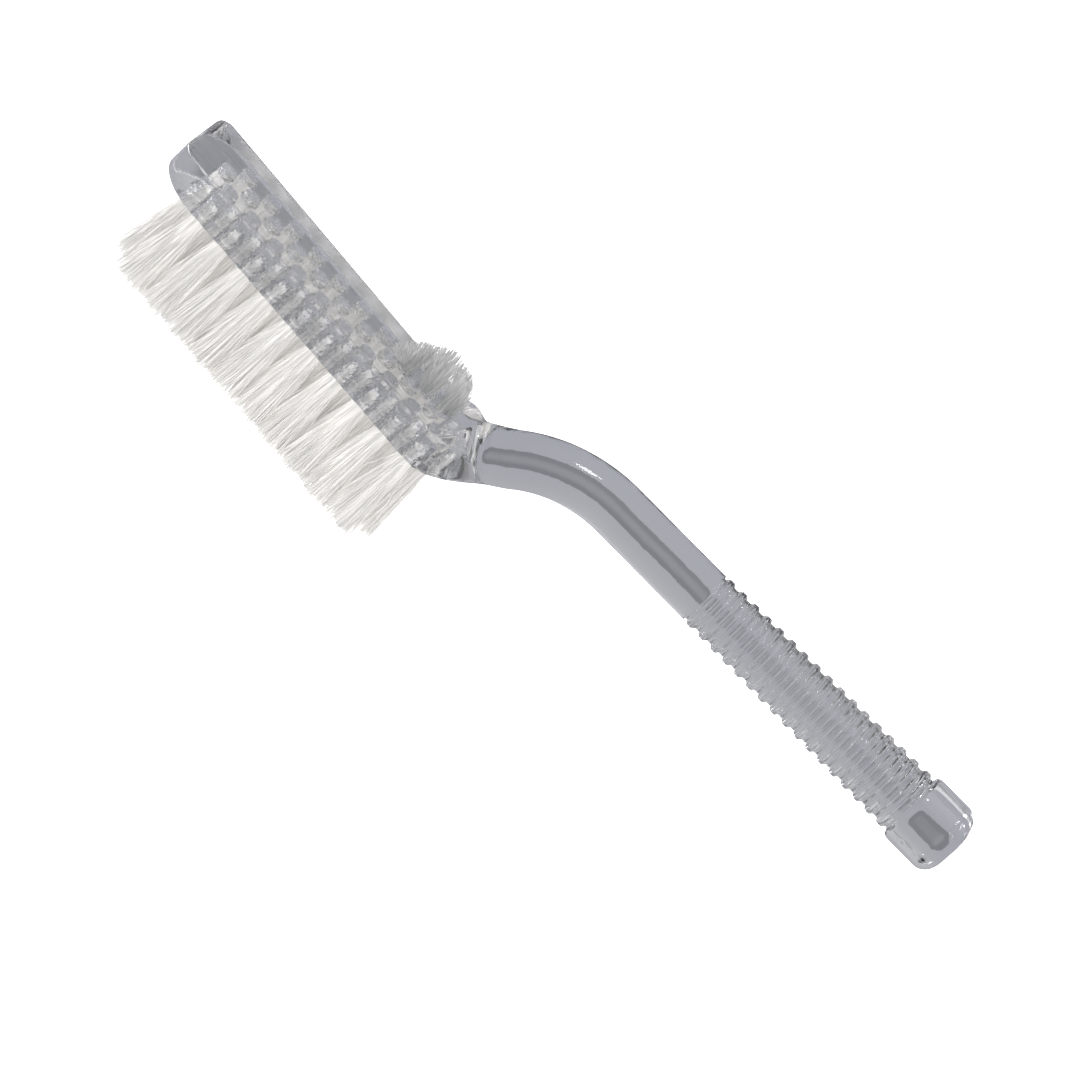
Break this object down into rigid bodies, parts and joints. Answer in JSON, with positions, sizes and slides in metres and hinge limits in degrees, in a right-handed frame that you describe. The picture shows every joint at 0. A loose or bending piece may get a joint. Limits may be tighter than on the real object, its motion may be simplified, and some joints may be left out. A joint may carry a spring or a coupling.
{
  "type": "nail brush",
  "caption": "Clear acrylic nail brush with a bent handle, a ringed grip, white nylon tufts under the head and short tufts on its back.",
  "frame": {"origin": "on the plane of the bristle tips, halfway along the brush and on its middle plane", "axes": "+X from the head's tip to the handle's end, +Z from the bristle tips to the back of the head"},
  "size_m": [0.1716, 0.0212, 0.0498],
  "materials": {
    "clear_acrylic": "polished, clear",
    "white_nylon": "satin filaments",
    "anchor_wire": "drawn wire"
  },
  "bodies": {
    "root": {"acrylic_body": "clear_acrylic", "left_tuft_01": "white_nylon", "left_tuft_02": "white_nylon", "left_tuft_03": "white_nylon", "left_tuft_04": "white_nylon", "left_tuft_05": "white_nylon", "left_tuft_06": "white_nylon", "left_tuft_07": "white_nylon", "left_tuft_08": "white_nylon", "left_tuft_09": "white_nylon", "left_tuft_10": "white_nylon", "right_tuft_01": "white_nylon", "right_tuft_02": "white_nylon", "right_tuft_03": "white_nylon", "right_tuft_04": "white_nylon", "right_tuft_05": "white_nylon", "right_tuft_06": "white_nylon", "right_tuft_07": "white_nylon", "right_tuft_08": "white_nylon", "right_tuft_09": "white_nylon", "right_tuft_10": "white_nylon", "centre_tuft_01": "white_nylon", "centre_tuft_02": "white_nylon", "centre_tuft_03": "white_nylon", "centre_tuft_04": "white_nylon", "centre_tuft_05": "white_nylon", "centre_tuft_06": "white_nylon", "centre_tuft_07": "white_nylon", "centre_tuft_08": "white_nylon", "centre_tuft_09": "white_nylon", "centre_tuft_10": "white_nylon", "centre_tuft_11": "white_nylon", "back_tuft_01": "white_nylon", "back_tuft_02": "white_nylon", "back_tuft_03": "white_nylon", "tuft_anchors": "anchor_wire", "back_tuft_anchors": "anchor_wire"}
  },
  "joints": []
}
